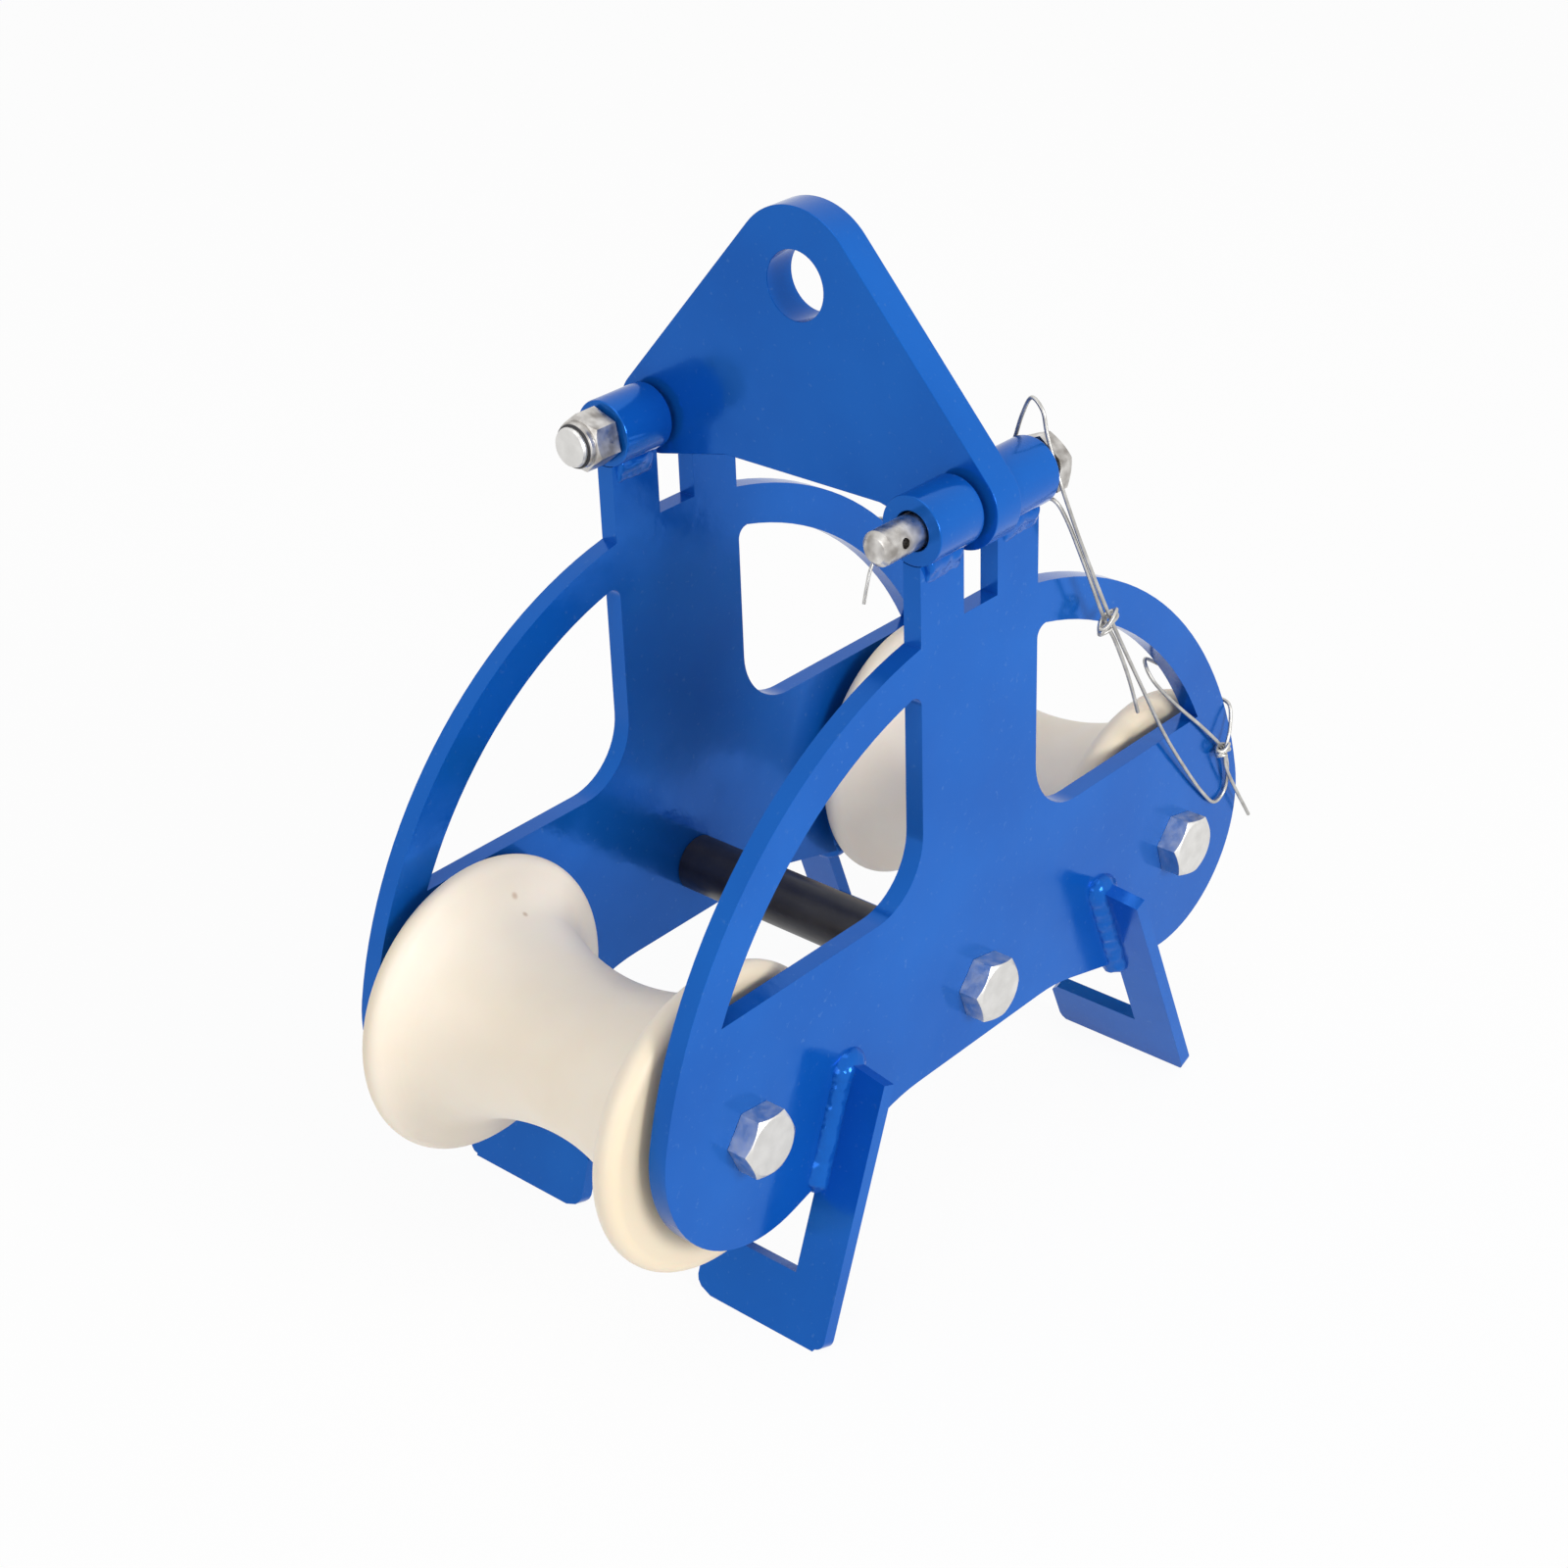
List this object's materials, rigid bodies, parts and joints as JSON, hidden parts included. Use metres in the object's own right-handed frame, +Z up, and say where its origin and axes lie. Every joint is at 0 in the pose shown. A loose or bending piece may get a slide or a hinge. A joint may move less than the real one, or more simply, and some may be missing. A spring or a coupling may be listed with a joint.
{
  "type": "corner cable pulley",
  "caption": "Hanging cable roller frame: arched steel side plates joined by a head plate with an eye, hourglass nylon rollers on bearings, splayed feet and a release pin.",
  "frame": {"origin": "on the ground under the middle of the frame, at the centre of the box's lower face", "axes": "+X along the cable, +Y across the frame towards the hinge side, +Z up through the eye"},
  "size_m": [0.392, 0.2, 0.3993],
  "materials": {
    "blue_paint": "glossy enamel",
    "nylon": "turned, satin",
    "zinc_steel": "zinc plated, satin",
    "plain_steel": "turned",
    "black_rubber": "smooth, slightly glossy",
    "wire": "drawn wire"
  },
  "bodies": {
    "frame": {"near_side_plate": "blue_paint", "far_side_plate": "blue_paint", "near_left_foot": "blue_paint", "near_right_foot": "blue_paint", "far_left_foot": "blue_paint", "far_right_foot": "blue_paint", "near_left_sleeve": "blue_paint", "near_right_sleeve": "blue_paint", "far_left_sleeve": "blue_paint", "far_right_sleeve": "blue_paint", "head_plate": "blue_paint", "hinge_bolt": "zinc_steel", "hinge_nut": "zinc_steel", "left_axle_bolt": "zinc_steel", "right_axle_bolt": "zinc_steel", "tie_bolt": "zinc_steel", "left_axle_nut": "zinc_steel", "right_axle_nut": "zinc_steel", "tie_nut": "zinc_steel", "left_axle_washer": "zinc_steel", "right_axle_washer": "zinc_steel", "tie_washer": "zinc_steel", "left_axle_tube": "plain_steel", "right_axle_tube": "plain_steel", "left_distance_rings": "plain_steel", "right_distance_rings": "plain_steel", "tie_tube": "plain_steel", "tie_sleeve": "black_rubber", "left_inner_rings": "plain_steel", "right_inner_rings": "plain_steel", "sleeve_welds": "blue_paint", "foot_welds": "blue_paint", "lanyard_wire": "wire", "lanyard_crimps": "wire", "tie_wire": "wire"},
    "left_roller": {"left_roller": "nylon", "left_outer_rings": "plain_steel", "left_balls": "plain_steel", "left_cages": "plain_steel", "left_seals": "black_rubber"},
    "right_roller": {"right_roller": "nylon", "right_outer_rings": "plain_steel", "right_balls": "plain_steel", "right_cages": "plain_steel", "right_seals": "black_rubber"},
    "release_pin": {"release_pin": "zinc_steel"}
  },
  "joints": [
    {"name": "left_roller_spin", "type": "hinge", "parent": "frame", "child": "left_roller", "pos_m": [-0.135, 0, 0.1], "axis": [0, 1, 0], "continuous": true},
    {"name": "right_roller_spin", "type": "hinge", "parent": "frame", "child": "right_roller", "pos_m": [0.135, 0, 0.1], "axis": [0, 1, 0], "continuous": true},
    {"name": "release_pin_slide", "type": "slide", "parent": "frame", "child": "release_pin", "axis": [1, 0, 0], "range_m": [0, 0.1]}
  ]
}
